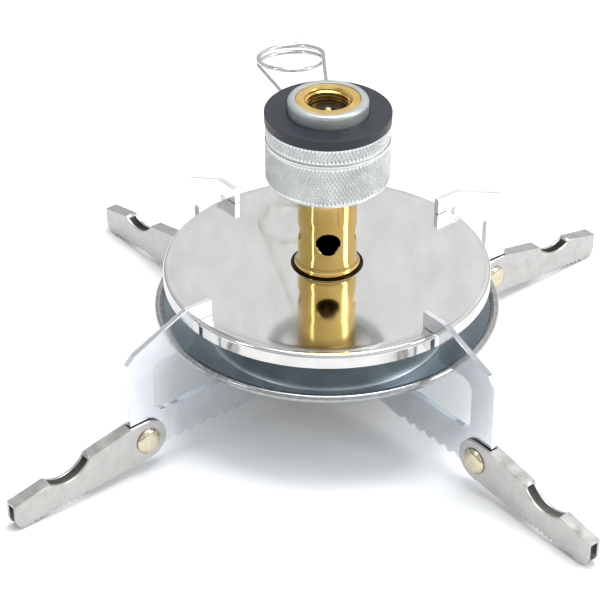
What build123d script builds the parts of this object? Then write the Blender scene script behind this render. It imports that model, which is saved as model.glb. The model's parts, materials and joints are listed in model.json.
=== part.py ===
from build123d import *
import math
import os

# Canister stove standing upside down on the tips of its unfolded pot supports.
# Millimetres. Z = 0 is the surface under the tips, +Z runs up the stove axis from the
# pot supports through the burner, pan and mixing tube to the canister socket.

# ---- fits and clearances ----
SLIP_GAP = 0.1             # static pieces that slip together
RUN_GAP = 0.05             # radial clearance of turning and sliding fits
SIDE_GAP = 0.3             # each side of an arm plate inside its channel

# ---- four support arms, C-shaped plates in radial vertical planes ----
ARM_COUNT = 4
FIRST_ARM_ANGLE = 40.0     # degrees from +X, counted anticlockwise from above
PLATE_THICKNESS = 1.5
PIVOT_HEIGHT = 8.5         # rivet centre above the tips
POST_WIDTH = 7.5
POST_END_RADIUS = 4.4      # rounded foot of the post around the rivet
BAR_RISE = 6.5             # bar top edge above the rivet centre
BAR_DROP = 3.6             # tooth tips below the rivet centre
BAR_INNER_RADIUS = 8.0     # where the bar ends near the stove axis
BAR_TAPER_RADIUS = 20.0    # inboard of this the bar's toothed edge is lifted
BAR_TAPER_LIFT = 1.5
TOOTH_PITCH = 3.63
TOOTH_COUNT = 5
TOOTH_GAP_WIDTH = 2.6
TOOTH_DEPTH = 1.2
TOOTH_OUTER_INSET = 10.0   # outermost tooth inboard of the rivet centre
WINDOW_GAP = 11.0          # from the bowl rim out to the post
WINDOW_RISE = 3.8          # window top above the bowl rim's crown
WINDOW_FILLET = 3.0
NOTCH_FILLET = 0.5
HOOK_GAP = 1.5             # notch edge outside the pan skirt
HOOK_OVERLAP = 4.4         # how far the hook tip reaches in over the pan
HOOK_DEPTH = 4.2           # height of the hook tip
HOOK_FLAT = 1.5            # flat top runs this far outboard of the notch edge
SHOULDER_DROP = 6.4        # the hook's top falls this far to the post corner
CORNER_CHAMFER = 2.2
TAB_LENGTH = 4.0
TAB_SHARES = (0.42, 0.77)  # inner ends of the tabs staked through the head, of its radius
TAB_STAKE = 1.0            # tab height standing inside the burner head

# ---- folding extensions, U channels on the rivets ----
SHEET = 0.7
EXTENSION_REACH = 38.6     # rivet centre to tip
CHANNEL_END_RADIUS = 5.4   # rounded wall end around the rivet
WEB_START = 0.3            # gap from the post to the web, which is the opening stop
WEB_START_RISE = 5.3       # web height above the rivet centre where it starts
TIP_WALL_HEIGHT = 7.2      # web height above the surface at the tip
TIP_CORNER_RADIUS = 3.2
SCOOP_WIDTH = 12.0
SCOOP_DEPTH = 2.7
SCOOP_FROM_TIP = 14.8      # middle of the scoop, inboard of the tip
FINE_PITCH = 1.6
FINE_COUNT = 10
FINE_DEPTH = 0.75
FINE_FROM_TIP = 4.6
FOLD_ANGLE = 168.0         # how far an extension swings under its bar

# ---- pivot rivets ----
RIVET_RADIUS = 1.5
RIVET_HEAD_RADIUS = 3.4
RIVET_HEAD_HEIGHT = 1.2
RIVET_CHAMFER = 0.6

# ---- reflector pan ----
PAN_RADIUS = 41.1
PAN_SKIRT = 3.7
PAN_SHEET = 0.4
PAN_SHOULDER = 1.1
PAN_HOLE_GAP = 0.9         # around the collar of the mixing tube

# ---- burner bowl: drum, dish and rolled rim ----
DRUM_RADIUS = 29.2
DRUM_DEPTH = 19.6          # pan underside to the drum's open edge
BOWL_SHEET = 0.6
RIM_OVERHANG = 2.4         # rim crown outside the pan
RIM_TUBE_RADIUS = 1.1
DISH_RISE = 8.5            # rim centre above the drum's open edge
BOWL_LIFT = 0.9            # drum's open edge above the arm bars

# ---- burner head, the pressed cap with the flame ports ----
HEAD_SHEET = 1.0
HEAD_FLANGE = 4.0
PORT_RADIUS = 0.8
PORT_RINGS = ((0.18, 8), (0.62, 20), (0.91, 36))    # part of the head radius, ports
SCREEN_THICKNESS = 0.5
SCREEN_LIFT = 1.6          # screen above the head plate, clear of the staked tabs

# ---- mixing tube ----
TUBE_RADIUS = 7.35
TUBE_WALL = 0.7
TUBE_EXPOSED = 24.5        # pan top to valve body
TUBE_SOCKET = 3.0          # length inside the valve body
COLLAR_STEP = 0.85          # collar outside the tube
COLLAR_HEIGHT = 1.2
COLLAR_COVE = 2.2
TUBE_TAIL = 4.0            # below the bowl's base
AIR_HOLE_RADIUS = 3.1
AIR_HOLE_RISE = 9.4        # hole centres above the pan top
AIR_HOLE_COUNT = 4
AIR_HOLE_ANGLE = -88.0
LOCK_NUT_STEP = 2.5        # flats outside the tube
LOCK_NUT_HEIGHT = 2.2

# ---- valve body ----
BODY_RADIUS = 15.4
BODY_HEIGHT = 16.0
BODY_CHAMFER = 1.3
GROOVE_FROM_TOP = 4.6
GROOVE_RADIUS = 0.6
BOSS_RADIUS = 9.8
BOSS_HEIGHT = 3.4          # above the grip ring
BOSS_ROUNDING = 0.6
GRIP_STEP = 0.1            # ring outside the body
GRIP_THICKNESS = 2.6

# ---- canister inlet: 7/16-28 UNEF socket ----
INSERT_RADIUS = 7.9
INSERT_RECESS = 0.2        # insert mouth below the boss face
THREAD_RADIUS = 5.07       # minor diameter 10.13
THREAD_LENGTH = 2.0        # full thread between the mouth chamfer and the runout
MOUTH_CHAMFER = 0.3
RUNOUT_RADIUS = 5.56       # thread runout and seal pocket, major diameter 11.11
RUNOUT_HEIGHT = 0.9
SEAL_THICKNESS = 1.8
SEAL_BORE = 1.7
PIN_RADIUS = 1.0
PIN_DEPTH = 2.4            # pin tip below the insert mouth
PIN_COLLAR_RADIUS = 1.6
PIN_COLLAR_HEIGHT = 1.0
PIN_FLAT = 1.25            # half width over the collar's two gas flats
GAS_CHAMBER = 1.0          # height of the space under the pin's collar
GAS_WAY_RADIUS = 0.7
GAS_WAY_OFFSET = 1.8       # from the stove axis, towards the spindle

# ---- needle valve ----
VALVE_ANGLE = 99.5         # direction of the spindle, degrees from +X
VALVE_RISE = 7.4           # spindle axis above the body's lower face
SEAT_DISTANCE = 1.0        # from the stove axis
SEAT_RADIUS = 0.6
NEEDLE_TIP_RADIUS = 0.3
NEEDLE_LENGTH = 3.0
NEEDLE_BORE_RADIUS = 1.8
STEM_RADIUS = 1.5
SCREW_START = 5.2
SCREW_LENGTH = 3.4
SCREW_RADIUS = 2.5
ORING_START = 9.0
ORING_SECTION = 0.45
GLAND_START = 11.0
GLAND_RADIUS = 3.8
GLAND_FLATS = 8.6
GLAND_HEAD = 1.3
HEAD_GAP = 0.35            # spindle head off the closed gland
HEAD_LENGTH = 3.4
HEAD_RADIUS = 2.6
HEAD_ROUNDING = 0.4

# ---- wire handle ----
WIRE_RADIUS = 0.6
LEG_ROOT_OFFSET = 3.5      # leg centre line beside the spindle axis at the pivot
LEG_BEND_RADIUS = 1.3
LEG_END_GAP = 0.3          # wire ends from the middle of the cross hole
LOOP_RADIUS = 8.7          # wire centre line
LOOP_DISTANCE = 42.7       # cross hole to loop centre
LOOP_STEP = 30.0           # degrees between the loop's corner points
LOOP_PITCH = 1.8           # wire to wire, per turn
HANDLE_DROOP = 8.5         # degrees below the spindle axis

# ---- gas jet ----
JET_THREAD_RADIUS = 2.0
JET_THREAD_LENGTH = 2.6
JET_FLATS = 6.0
JET_HEAD = 2.4
JET_NOSE = 1.4
JET_NOSE_RADIUS = 1.6
JET_ORIFICE = 0.25

# ---- places worked out from the sizes above ----
BAR_TOP = PIVOT_HEIGHT + BAR_RISE
BAR_BOTTOM = PIVOT_HEIGHT - BAR_DROP
BOWL_BOTTOM = BAR_TOP + BOWL_LIFT
BOWL_TOP = BOWL_BOTTOM + DRUM_DEPTH
PAN_TOP = BOWL_TOP + PAN_SHEET
RIM_HEIGHT = BOWL_BOTTOM + DISH_RISE
RIM_CENTRE_RADIUS = PAN_RADIUS + RIM_OVERHANG - RIM_TUBE_RADIUS
POST_INNER = PAN_RADIUS + RIM_OVERHANG + WINDOW_GAP
POST_OUTER = POST_INNER + POST_WIDTH
PIVOT_RADIUS = POST_OUTER - POST_END_RADIUS
HEAD_BOTTOM = BAR_TOP + SLIP_GAP
BODY_BOTTOM = PAN_TOP + TUBE_EXPOSED
BODY_TOP = BODY_BOTTOM + BODY_HEIGHT
GRIP_TOP = BODY_TOP + GRIP_THICKNESS
BOSS_TOP = GRIP_TOP + BOSS_HEIGHT
INSERT_TOP = BOSS_TOP - INSERT_RECESS
THREAD_END = INSERT_TOP - MOUTH_CHAMFER - THREAD_LENGTH
SEAL_TOP = THREAD_END - RUNOUT_HEIGHT
SOCKET_FLOOR = SEAL_TOP - SEAL_THICKNESS
VALVE_HEIGHT = BODY_BOTTOM + VALVE_RISE
GLAND_SEAT = BODY_RADIUS + SLIP_GAP
HEAD_START = GLAND_SEAT + GLAND_HEAD + HEAD_GAP
CROSS_HOLE = HEAD_START + HEAD_LENGTH / 2
CHANNEL_HALF = PLATE_THICKNESS / 2 + SIDE_GAP + SHEET
HEAD_CAP_RADIUS = DRUM_RADIUS - BOWL_SHEET - SLIP_GAP / 2
COLLAR_RADIUS = TUBE_RADIUS + COLLAR_STEP
GRIP_RADIUS = BODY_RADIUS + GRIP_STEP
TAB_RADII = [share * HEAD_CAP_RADIUS for share in TAB_SHARES]


def revolved(*points):
    """Ring or solid of revolution about Z from corner points (radius, height)."""
    return revolve(make_face(Plane.XZ * Polyline(*points, close=True)), Axis.Z)


def plate_shape(*points):
    """Flat face in the XZ plane from corner points (radius, height)."""
    return make_face(Plane.XZ * Polyline(*points, close=True))


def disc_at(radius, x, z):
    """Round face in the XZ plane."""
    return Plane.XZ * Pos(x, z) * Circle(radius)


def corners_near(shape, *places):
    """Vertices of a flat XZ face that lie at the given (radius, height) places."""
    found = []
    for x, z in places:
        found.append(min(shape.vertices(), key=lambda v: abs(v.X - x) + abs(v.Z - z)))
    return found


def arm_angles():
    return [FIRST_ARM_ANGLE + 360 / ARM_COUNT * i for i in range(ARM_COUNT)]


def save(shape, name):
    """Write one node's STEP file with every solid it holds."""
    shape.label = name
    export_step(shape, "parts/" + name + ".step")


# ---------------------------------------------------------------- support arms
def arm_face():
    """C outline: toothed bar, post, sloping arm and the hook over the pan rim."""
    window_top = RIM_HEIGHT + RIM_TUBE_RADIUS + WINDOW_RISE
    notch = PAN_RADIUS + HOOK_GAP
    hook_under = PAN_TOP + SLIP_GAP
    hook_top = hook_under + HOOK_DEPTH
    tip = PAN_RADIUS - HOOK_OVERLAP
    shoulder = hook_top - SHOULDER_DROP
    taper = BAR_BOTTOM + BAR_TAPER_LIFT
    toothed_in = PIVOT_RADIUS - TOOTH_OUTER_INSET - TOOTH_PITCH * TOOTH_COUNT
    face = plate_shape(
        (BAR_INNER_RADIUS, BAR_TOP), (POST_INNER, BAR_TOP), (POST_INNER, window_top),
        (notch, window_top), (notch, hook_under), (tip, hook_under), (tip, hook_top),
        (notch + HOOK_FLAT, hook_top), (POST_OUTER - CORNER_CHAMFER, shoulder),
        (POST_OUTER, shoulder - CORNER_CHAMFER), (POST_OUTER, PIVOT_HEIGHT),
        (PIVOT_RADIUS, PIVOT_HEIGHT), (PIVOT_RADIUS, BAR_BOTTOM), (toothed_in, BAR_BOTTOM),
        (BAR_TAPER_RADIUS, taper), (BAR_INNER_RADIUS, taper))
    round_corners = corners_near(face, (POST_INNER, BAR_TOP), (POST_INNER, window_top))
    face = fillet(round_corners, WINDOW_FILLET)
    face = fillet(corners_near(face, (notch, window_top), (notch, hook_under)), NOTCH_FILLET)
    return face + disc_at(POST_END_RADIUS, PIVOT_RADIUS, PIVOT_HEIGHT)


def arm_tooth_gaps():
    """V gaps that leave the coarse teeth on the bar's lower edge."""
    outer = PIVOT_RADIUS - TOOTH_OUTER_INSET
    half = TOOTH_GAP_WIDTH / 2
    gaps = []
    for i in range(TOOTH_COUNT + 1):
        middle = outer + TOOTH_PITCH / 2 - TOOTH_PITCH * i
        gaps.append(plate_shape(
            (middle - half, BAR_BOTTOM - TOOTH_DEPTH / 2), (middle - half, BAR_BOTTOM),
            (middle, BAR_BOTTOM + TOOTH_DEPTH), (middle + half, BAR_BOTTOM),
            (middle + half, BAR_BOTTOM - TOOTH_DEPTH / 2)))
    return gaps


def arm_tab(inner):
    """Tab that passes up through the burner head."""
    top = HEAD_BOTTOM + HEAD_SHEET + TAB_STAKE
    return plate_shape((inner, BAR_TOP - TAB_STAKE), (inner, top),
                       (inner + TAB_LENGTH, top), (inner + TAB_LENGTH, BAR_TOP - TAB_STAKE))


def support_arm(angle):
    face = arm_face()
    for inner in TAB_RADII:
        face += arm_tab(inner)
    for gap in arm_tooth_gaps():
        face -= gap
    face -= disc_at(RIVET_RADIUS, PIVOT_RADIUS, PIVOT_HEIGHT)
    return Rot(0, 0, angle) * extrude(face, PLATE_THICKNESS / 2, both=True)


# ---------------------------------------------------------------- extensions
def web_line():
    """Start and end (radius, height) of the channel's web edge."""
    start = (POST_OUTER + WEB_START, PIVOT_HEIGHT + WEB_START_RISE)
    return start, (PIVOT_RADIUS + EXTENSION_REACH, TIP_WALL_HEIGHT)


def web_height(radius):
    (x0, z0), (x1, z1) = web_line()
    return z0 + (z1 - z0) * (radius - x0) / (x1 - x0)


def toe_height(radius):
    """Lower wall edge: from under the rivet down to the surface at the toe."""
    toe = PIVOT_RADIUS + EXTENSION_REACH - TIP_CORNER_RADIUS
    heel = PIVOT_HEIGHT - CHANNEL_END_RADIUS
    return heel * (toe - radius) / (toe - PIVOT_RADIUS)


def channel_wall_face():
    """Side view of a channel, without teeth, scoop or pivot hole."""
    tip = PIVOT_RADIUS + EXTENSION_REACH
    start = web_line()[0]
    top_left = PIVOT_HEIGHT + CHANNEL_END_RADIUS
    face = plate_shape(
        (PIVOT_RADIUS, top_left), start, (tip, TIP_WALL_HEIGHT), (tip, 0),
        (tip - TIP_CORNER_RADIUS, 0), (PIVOT_RADIUS, toe_height(PIVOT_RADIUS)))
    face = fillet(corners_near(face, (tip, 0)), TIP_CORNER_RADIUS - SLIP_GAP)
    return face + disc_at(CHANNEL_END_RADIUS, PIVOT_RADIUS, PIVOT_HEIGHT)


def scoop_face():
    """Round scoop out of the web: a circle through its two ends and its bottom."""
    middle = PIVOT_RADIUS + EXTENSION_REACH - SCOOP_FROM_TIP
    radius = (SCOOP_WIDTH ** 2 / 4 + SCOOP_DEPTH ** 2) / (2 * SCOOP_DEPTH)
    return disc_at(radius, middle, web_height(middle) - SCOOP_DEPTH + radius)


def fine_tooth_gaps():
    gaps = []
    half = FINE_PITCH / 2
    for i in range(FINE_COUNT):
        middle = PIVOT_RADIUS + EXTENSION_REACH - FINE_FROM_TIP - FINE_PITCH * (i + 0.5)
        edge = toe_height(middle)
        gaps.append(plate_shape(
            (middle - half, toe_height(middle - half) - FINE_DEPTH),
            (middle - half, toe_height(middle - half)), (middle, edge + FINE_DEPTH),
            (middle + half, toe_height(middle + half)),
            (middle + half, toe_height(middle + half) - FINE_DEPTH)))
    return gaps


def channel_room_face():
    """Side view of the space between the walls: under the web and past its start."""
    tip = PIVOT_RADIUS + EXTENSION_REACH + SHEET
    left = PIVOT_RADIUS - CHANNEL_END_RADIUS - SHEET
    start = POST_OUTER + WEB_START
    above = PIVOT_HEIGHT + CHANNEL_END_RADIUS + SHEET
    return plate_shape(
        (left, above), (start, above), (start, web_height(start) - SHEET),
        (tip, web_height(tip) - SHEET), (tip, -SHEET), (left, -SHEET))


def arm_extension(angle):
    face = channel_wall_face() - scoop_face()
    for gap in fine_tooth_gaps():
        face -= gap
    face -= disc_at(RIVET_RADIUS + RUN_GAP, PIVOT_RADIUS, PIVOT_HEIGHT)
    block = extrude(face, CHANNEL_HALF, both=True)
    block -= extrude(channel_room_face(), CHANNEL_HALF - SHEET, both=True)
    return Rot(0, 0, angle) * block


def pivot_rivet(angle):
    """Shank through channel and plate, with a chamfered head on each side."""
    inner = CHANNEL_HALF + RUN_GAP
    outer = inner + RIVET_HEAD_HEIGHT
    edge = RIVET_HEAD_RADIUS - RIVET_CHAMFER
    rivet = revolved(
        (0, -outer), (edge, -outer), (RIVET_HEAD_RADIUS, -outer + RIVET_CHAMFER),
        (RIVET_HEAD_RADIUS, -inner), (RIVET_RADIUS, -inner), (RIVET_RADIUS, inner),
        (RIVET_HEAD_RADIUS, inner), (RIVET_HEAD_RADIUS, outer - RIVET_CHAMFER),
        (edge, outer), (0, outer))
    placed = Pos(PIVOT_RADIUS, 0, PIVOT_HEIGHT) * Rot(90, 0, 0) * rivet
    return Rot(0, 0, angle) * placed


# ---------------------------------------------------------------- pan, bowl, head
def reflector_pan():
    hole = COLLAR_RADIUS + PAN_HOLE_GAP
    skirt = PAN_TOP - PAN_SKIRT
    inner = PAN_RADIUS - PAN_SHEET
    outside = revolved((hole, BOWL_TOP - PAN_SKIRT), (hole, PAN_TOP),
                       (PAN_RADIUS, PAN_TOP), (PAN_RADIUS, skirt), (hole, skirt))
    top_edge = outside.edges().filter_by(GeomType.CIRCLE).group_by(Axis.Z)[-1]
    outside = fillet(top_edge.sort_by(SortBy.RADIUS)[-1], PAN_SHOULDER)
    inside = revolved((0, skirt - PAN_SKIRT), (0, BOWL_TOP), (inner, BOWL_TOP),
                      (inner, skirt - PAN_SKIRT))
    inner_edge = inside.edges().filter_by(GeomType.CIRCLE).group_by(Axis.Z)[-1]
    inside = fillet(inner_edge.sort_by(SortBy.RADIUS)[-1], PAN_SHOULDER - PAN_SHEET)
    return outside - inside


def burner_bowl():
    """Drum hung under the pan, flared into a dish that ends in a rolled rim."""
    hole = TUBE_RADIUS + SLIP_GAP
    inner = DRUM_RADIUS - BOWL_SHEET
    dish_low = BOWL_BOTTOM + BOWL_SHEET
    shell = revolved(
        (hole, BOWL_TOP), (DRUM_RADIUS, BOWL_TOP), (DRUM_RADIUS, dish_low),
        (RIM_CENTRE_RADIUS, RIM_HEIGHT + BOWL_SHEET / 2),
        (RIM_CENTRE_RADIUS, RIM_HEIGHT - BOWL_SHEET / 2), (DRUM_RADIUS, BOWL_BOTTOM),
        (inner, BOWL_BOTTOM), (inner, BOWL_TOP - BOWL_SHEET), (hole, BOWL_TOP - BOWL_SHEET))
    rim = revolve(disc_at(RIM_TUBE_RADIUS, RIM_CENTRE_RADIUS, RIM_HEIGHT), Axis.Z)
    return shell + rim


def head_tab_slots():
    """Slots in the burner head for the arm tabs."""
    slots = []
    width = PLATE_THICKNESS + 2 * SLIP_GAP
    for angle in arm_angles():
        for inner in TAB_RADII:
            slot = Box(TAB_LENGTH + 2 * SLIP_GAP, width, 3 * HEAD_SHEET)
            slots.append(Rot(0, 0, angle) * Pos(inner + TAB_LENGTH / 2, 0, HEAD_BOTTOM) * slot)
    return slots


def head_ports():
    """Flame ports in rings, turned off the arms."""
    ports = []
    drill = Cylinder(PORT_RADIUS, 3 * HEAD_SHEET)
    for share, count in PORT_RINGS:
        radius = share * HEAD_CAP_RADIUS
        step = 360 / count
        for i in range(count):
            turn = FIRST_ARM_ANGLE + step * (i + 0.5)
            ports.append(Rot(0, 0, turn) * Pos(radius, 0, HEAD_BOTTOM) * drill)
    return ports


def burner_head():
    """Shallow pressed cap in the drum's mouth."""
    radius = HEAD_CAP_RADIUS
    top = HEAD_BOTTOM + HEAD_SHEET
    cap = revolved(
        (0, HEAD_BOTTOM), (radius, HEAD_BOTTOM), (radius, HEAD_BOTTOM + HEAD_FLANGE),
        (radius - HEAD_SHEET, HEAD_BOTTOM + HEAD_FLANGE), (radius - HEAD_SHEET, top), (0, top))
    return cap - (head_tab_slots() + head_ports())


def burner_screen():
    """Gauze disc across the head, over the staked tabs."""
    radius = HEAD_CAP_RADIUS - HEAD_SHEET - SLIP_GAP
    low = HEAD_BOTTOM + HEAD_SHEET + SCREEN_LIFT
    return revolved((0, low), (radius, low), (radius, low + SCREEN_THICKNESS),
                    (0, low + SCREEN_THICKNESS))


# ---------------------------------------------------------------- mixing tube
def mixing_tube():
    inner = TUBE_RADIUS - TUBE_WALL
    top = BODY_BOTTOM + TUBE_SOCKET
    bottom = BOWL_TOP - BOWL_SHEET - TUBE_TAIL
    crown = BOWL_TOP + COLLAR_HEIGHT
    tube = revolved(
        (inner, bottom), (TUBE_RADIUS, bottom), (TUBE_RADIUS, BOWL_TOP),
        (COLLAR_RADIUS, BOWL_TOP), (COLLAR_RADIUS, crown), (TUBE_RADIUS, crown + COLLAR_COVE),
        (TUBE_RADIUS, top), (inner, top))
    drill = Rot(0, 90, 0) * Cylinder(AIR_HOLE_RADIUS, TUBE_RADIUS, align=(Align.CENTER,
                                     Align.CENTER, Align.MIN))
    for i in range(AIR_HOLE_COUNT):
        turn = AIR_HOLE_ANGLE + 360 / AIR_HOLE_COUNT * i
        tube -= Rot(0, 0, turn) * Pos(TUBE_WALL, 0, PAN_TOP + AIR_HOLE_RISE) * drill
    return tube


def tube_lock_nut():
    """Hexagon nut that clamps the bowl's base against the tube's collar."""
    top = BOWL_TOP - BOWL_SHEET
    face = RegularPolygon(TUBE_RADIUS + LOCK_NUT_STEP, 6, major_radius=False)
    face -= Circle(TUBE_RADIUS + SLIP_GAP / 2)
    return Pos(0, 0, top - LOCK_NUT_HEIGHT) * extrude(face, LOCK_NUT_HEIGHT)


# ---------------------------------------------------------------- valve body
def along_spindle(shape, distance):
    """Put a shape made along +Z on the spindle axis, its base at a distance out."""
    turned = Pos(0, 0, VALVE_HEIGHT) * Rot(0, 90, 0) * Pos(0, 0, distance) * shape
    return Rot(0, 0, VALVE_ANGLE) * turned


def rod(radius, length):
    return Cylinder(radius, length, align=(Align.CENTER, Align.CENTER, Align.MIN))


def body_blank():
    """Turned blank with the boss, the groove between the knurl bands and the bores."""
    groove = BODY_TOP - GROOVE_FROM_TOP
    low = BODY_BOTTOM + BODY_CHAMFER
    blank = revolved(
        (0, BODY_BOTTOM), (BODY_RADIUS - BODY_CHAMFER, BODY_BOTTOM), (BODY_RADIUS, low),
        (BODY_RADIUS, BODY_TOP), (BOSS_RADIUS, BODY_TOP), (BOSS_RADIUS, BOSS_TOP - BOSS_ROUNDING),
        (BOSS_RADIUS - BOSS_ROUNDING, BOSS_TOP), (0, BOSS_TOP))
    blank -= revolve(disc_at(GROOVE_RADIUS, BODY_RADIUS, groove), Axis.Z)
    blank -= Pos(0, 0, SOCKET_FLOOR) * rod(INSERT_RADIUS, BOSS_TOP - SOCKET_FLOOR + RUN_GAP)
    socket = rod(TUBE_RADIUS + SLIP_GAP / 2, TUBE_SOCKET + BODY_CHAMFER)
    return blank - Pos(0, 0, BODY_BOTTOM - BODY_CHAMFER) * socket


def valve_body():
    body = body_blank()
    chamber = SOCKET_FLOOR - PIN_COLLAR_HEIGHT - GAS_CHAMBER
    jet_top = BODY_BOTTOM + TUBE_SOCKET + JET_THREAD_LENGTH
    body -= along_spindle(rod(NEEDLE_BORE_RADIUS, SCREW_START), SEAT_DISTANCE)
    body -= along_spindle(rod(SCREW_RADIUS, GLAND_START), SCREW_START - RUN_GAP)
    body -= along_spindle(rod(GLAND_RADIUS, BODY_RADIUS), GLAND_START)
    body -= along_spindle(rod(SEAT_RADIUS, 2 * SEAT_DISTANCE), -SEAT_DISTANCE + RUN_GAP)
    down = rod(SEAT_RADIUS, VALVE_HEIGHT - jet_top + RUN_GAP)
    body -= Pos(0, 0, jet_top - RUN_GAP) * down
    body -= Pos(0, 0, chamber) * rod(PIN_COLLAR_RADIUS, BODY_HEIGHT)
    feed = rod(GAS_WAY_RADIUS, chamber - VALVE_HEIGHT + RUN_GAP)
    body -= Rot(0, 0, VALVE_ANGLE) * Pos(GAS_WAY_OFFSET, 0, VALVE_HEIGHT) * feed
    jet_bore = rod(JET_THREAD_RADIUS, JET_THREAD_LENGTH + RUN_GAP)
    return body - Pos(0, 0, BODY_BOTTOM + TUBE_SOCKET - RUN_GAP) * jet_bore


def grip_ring():
    return revolved((BOSS_RADIUS + SLIP_GAP, BODY_TOP), (GRIP_RADIUS, BODY_TOP),
                    (GRIP_RADIUS, GRIP_TOP), (BOSS_RADIUS + SLIP_GAP, GRIP_TOP))


# ---------------------------------------------------------------- canister inlet
def thread_insert():
    """Threaded sleeve pressed into the boss."""
    return revolved(
        (RUNOUT_RADIUS, SOCKET_FLOOR), (INSERT_RADIUS, SOCKET_FLOOR), (INSERT_RADIUS, INSERT_TOP),
        (THREAD_RADIUS + MOUTH_CHAMFER, INSERT_TOP), (THREAD_RADIUS, INSERT_TOP - MOUTH_CHAMFER),
        (THREAD_RADIUS, THREAD_END), (RUNOUT_RADIUS, THREAD_END))


def inlet_seal():
    outer = RUNOUT_RADIUS - SLIP_GAP / 2
    return revolved((SEAL_BORE, SOCKET_FLOOR), (outer, SOCKET_FLOOR), (outer, SEAL_TOP),
                    (SEAL_BORE, SEAL_TOP))


def depressor_pin():
    """Pin that opens the canister's valve, held by a collar with two gas flats."""
    tip = INSERT_TOP - PIN_DEPTH
    collar_low = SOCKET_FLOOR - PIN_COLLAR_HEIGHT
    pin = revolved(
        (0, collar_low), (PIN_COLLAR_RADIUS, collar_low), (PIN_COLLAR_RADIUS, SOCKET_FLOOR),
        (PIN_RADIUS, SOCKET_FLOOR), (PIN_RADIUS, tip - PIN_RADIUS / 2), (PIN_RADIUS / 2, tip), (0, tip))
    for side in (-1, 1):
        flat = Box(2 * PIN_COLLAR_RADIUS, PIN_COLLAR_RADIUS, PIN_COLLAR_HEIGHT)
        offset = side * (PIN_FLAT + PIN_COLLAR_RADIUS / 2)
        pin -= Pos(0, offset, collar_low + PIN_COLLAR_HEIGHT / 2) * flat
    return pin


# ---------------------------------------------------------------- needle valve
def gland_nut():
    """Screwed gland with a hexagon head that keeps the spindle in."""
    bore = STEM_RADIUS + RUN_GAP
    shank = rod(GLAND_RADIUS - RUN_GAP, GLAND_SEAT - GLAND_START)
    head = extrude(RegularPolygon(GLAND_FLATS / 2, 6, major_radius=False), GLAND_HEAD)
    nut = shank + Pos(0, 0, GLAND_SEAT - GLAND_START) * head
    nut -= rod(bore, BODY_RADIUS)
    return along_spindle(nut, GLAND_START)


def spindle_oring():
    centre = STEM_RADIUS + RUN_GAP + ORING_SECTION
    ring = revolve(disc_at(ORING_SECTION, centre, ORING_SECTION), Axis.Z)
    return along_spindle(ring, ORING_START)


def valve_spindle():
    """Needle, adjusting screw, stem and the head with the cross hole."""
    tip = SEAT_DISTANCE + RUN_GAP
    head_end = HEAD_START + HEAD_LENGTH
    spindle = revolved(
        (0, tip), (NEEDLE_TIP_RADIUS, tip), (STEM_RADIUS, tip + NEEDLE_LENGTH),
        (STEM_RADIUS, SCREW_START), (SCREW_RADIUS - RUN_GAP, SCREW_START),
        (SCREW_RADIUS - RUN_GAP, SCREW_START + SCREW_LENGTH),
        (STEM_RADIUS, SCREW_START + SCREW_LENGTH), (STEM_RADIUS, HEAD_START),
        (HEAD_RADIUS, HEAD_START), (HEAD_RADIUS, head_end - HEAD_ROUNDING),
        (HEAD_RADIUS - HEAD_ROUNDING, head_end), (0, head_end))
    spindle -= Pos(0, 0, CROSS_HOLE) * Rot(90, 0, 0) * Cylinder(WIRE_RADIUS + RUN_GAP,
                                                              3 * HEAD_RADIUS)
    return along_spindle(spindle, 0)


# ---------------------------------------------------------------- wire handle
def handle_points():
    """Corner points (out, sideways, up) from one wire end round the loop to the other."""
    gap = math.hypot(LOOP_DISTANCE, LEG_ROOT_OFFSET)
    lean = math.degrees(math.atan2(LEG_ROOT_OFFSET, LOOP_DISTANCE))
    touch = math.degrees(math.acos(LOOP_RADIUS / gap))
    first = 180 - lean - touch
    sweep = 360 + 2 * first
    steps = round(sweep / LOOP_STEP)
    reach = LOOP_RADIUS / math.cos(math.radians(sweep / steps / 2))
    rise = LOOP_PITCH * sweep / 360
    points = [(0, LEG_END_GAP, 0), (0, LEG_ROOT_OFFSET, 0)]
    for i in range(steps):
        part = (i + 0.5) / steps
        angle = math.radians(first - sweep * part)
        points.append((LOOP_DISTANCE + reach * math.cos(angle), reach * math.sin(angle),
                       rise * (part - 0.5)))
    return points + [(0, -LEG_ROOT_OFFSET, 0), (0, -LEG_END_GAP, 0)]


def corner_radius(before, corner, after):
    """Arc for one corner: as large as its shorter run allows."""
    run_in = Vector(corner) - Vector(before)
    run_out = Vector(after) - Vector(corner)
    turn = math.radians(run_in.get_angle(run_out))
    return 0.45 * min(run_in.length, run_out.length) / math.tan(turn / 2)


def handle_wire():
    """One wire: cross-hole end, leg, one and a half turns of loop, leg, end."""
    points = handle_points()
    radii = []
    for i in range(1, len(points) - 1):
        radii.append(corner_radius(points[i - 1], points[i], points[i + 1]))
    radii[0] = LEG_BEND_RADIUS
    radii[-1] = LEG_BEND_RADIUS
    path = FilletPolyline(*points, radius=radii)
    section = Plane(origin=path @ 0, z_dir=path % 0) * Circle(WIRE_RADIUS)
    wire = sweep(section, path=path)
    local = Pos(CROSS_HOLE, 0, 0) * Rot(0, HANDLE_DROOP, 0) * wire
    return Rot(0, 0, VALVE_ANGLE) * Pos(0, 0, VALVE_HEIGHT) * local


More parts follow.
